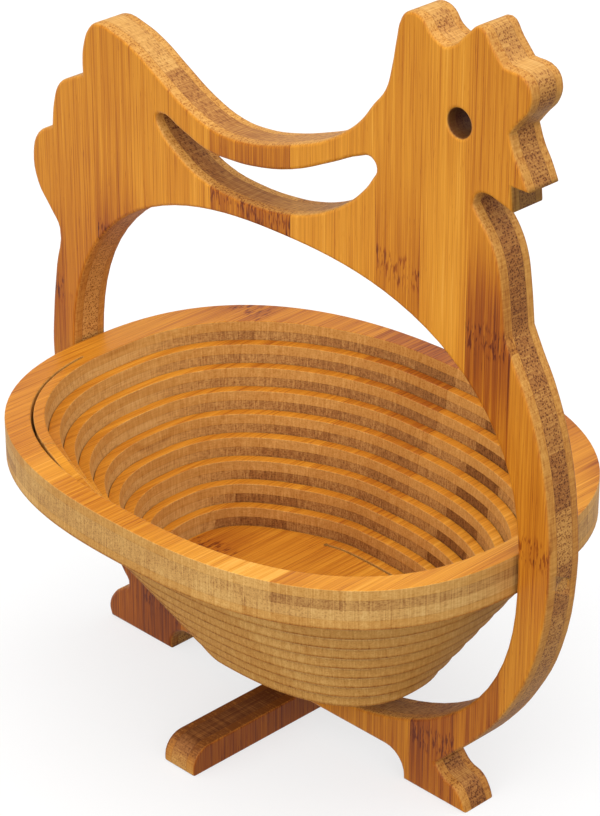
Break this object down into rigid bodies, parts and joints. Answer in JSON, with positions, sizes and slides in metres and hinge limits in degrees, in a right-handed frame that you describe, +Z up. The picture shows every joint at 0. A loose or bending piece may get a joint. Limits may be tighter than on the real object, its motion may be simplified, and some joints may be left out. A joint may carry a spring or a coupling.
{
  "type": "collapsible wooden basket",
  "caption": "Wooden basket: a spiral-cut bowl hangs on pins in a hen-shaped standing frame with a handle slot and a swivelling cross foot, and folds flat into the frame.",
  "frame": {"origin": "on the floor, under the middle of the frame's outline", "axes": "+X along the board towards the hen's head, +Y through the board away from the front face, +Z up"},
  "size_m": [0.2672, 0.1812, 0.3059],
  "materials": {
    "bamboo_board": "satin lacquered laminated bamboo, fine vertical grain",
    "bamboo_cut_edge": "sanded cut edge of laminated bamboo",
    "steel": "plain steel"
  },
  "bodies": {
    "frame": {"frame": "bamboo_board", "pivot_pin_head_side": "steel", "pivot_pin_tail_side": "steel", "pin_plug_head_side": "bamboo_cut_edge", "pin_plug_tail_side": "bamboo_cut_edge", "foot_screw": "steel"},
    "bowl_rim": {"basket_rim": "bamboo_board"},
    "bowl_turn_1": {"spiral_turn_1": "bamboo_cut_edge"},
    "bowl_turn_2": {"spiral_turn_2": "bamboo_cut_edge"},
    "bowl_turn_3": {"spiral_turn_3": "bamboo_cut_edge"},
    "bowl_turn_4": {"spiral_turn_4": "bamboo_cut_edge"},
    "bowl_turn_5": {"spiral_turn_5": "bamboo_cut_edge"},
    "bowl_turn_6": {"spiral_turn_6": "bamboo_cut_edge"},
    "bowl_turn_7": {"spiral_turn_7": "bamboo_cut_edge"},
    "bowl_turn_8": {"spiral_turn_8": "bamboo_cut_edge"},
    "bowl_base": {"basket_base": "bamboo_board"},
    "cross_foot": {"cross_foot": "bamboo_board"}
  },
  "joints": [
    {"name": "bowl_swing", "type": "hinge", "parent": "frame", "child": "bowl_rim", "pos_m": [0.00309, 0, 0.1097], "axis": [1, 0, 0], "range_deg": [-90, 90]},
    {"name": "bowl_flatten", "type": "slide", "parent": "bowl_rim", "child": "bowl_turn_1", "axis": [0, 0, 1], "range_m": [0, 0.0075]},
    {"name": "turn_2_rise", "type": "slide", "parent": "bowl_turn_1", "child": "bowl_turn_2", "axis": [0, 0, 1], "range_m": [0, 0.0075]},
    {"name": "turn_3_rise", "type": "slide", "parent": "bowl_turn_2", "child": "bowl_turn_3", "axis": [0, 0, 1], "range_m": [0, 0.0075]},
    {"name": "turn_4_rise", "type": "slide", "parent": "bowl_turn_3", "child": "bowl_turn_4", "axis": [0, 0, 1], "range_m": [0, 0.0075]},
    {"name": "turn_5_rise", "type": "slide", "parent": "bowl_turn_4", "child": "bowl_turn_5", "axis": [0, 0, 1], "range_m": [0, 0.0075]},
    {"name": "turn_6_rise", "type": "slide", "parent": "bowl_turn_5", "child": "bowl_turn_6", "axis": [0, 0, 1], "range_m": [0, 0.0075]},
    {"name": "turn_7_rise", "type": "slide", "parent": "bowl_turn_6", "child": "bowl_turn_7", "axis": [0, 0, 1], "range_m": [0, 0.0075]},
    {"name": "turn_8_rise", "type": "slide", "parent": "bowl_turn_7", "child": "bowl_turn_8", "axis": [0, 0, 1], "range_m": [0, 0.0075]},
    {"name": "base_rise", "type": "slide", "parent": "bowl_turn_8", "child": "bowl_base", "axis": [0, 0, 1], "range_m": [0, 0.0075]},
    {"name": "cross_foot_swivel", "type": "hinge", "parent": "frame", "child": "cross_foot", "pos_m": [0.00309, 0, 0], "axis": [0, 0, 1], "range_deg": [-90, 90]}
  ],
  "couplings": [
    {"joint": "turn_2_rise", "follows": "bowl_flatten", "ratio": 1},
    {"joint": "turn_3_rise", "follows": "bowl_flatten", "ratio": 1},
    {"joint": "turn_4_rise", "follows": "bowl_flatten", "ratio": 1},
    {"joint": "turn_5_rise", "follows": "bowl_flatten", "ratio": 1},
    {"joint": "turn_6_rise", "follows": "bowl_flatten", "ratio": 1},
    {"joint": "turn_7_rise", "follows": "bowl_flatten", "ratio": 1},
    {"joint": "turn_8_rise", "follows": "bowl_flatten", "ratio": 1},
    {"joint": "base_rise", "follows": "bowl_flatten", "ratio": 1}
  ]
}
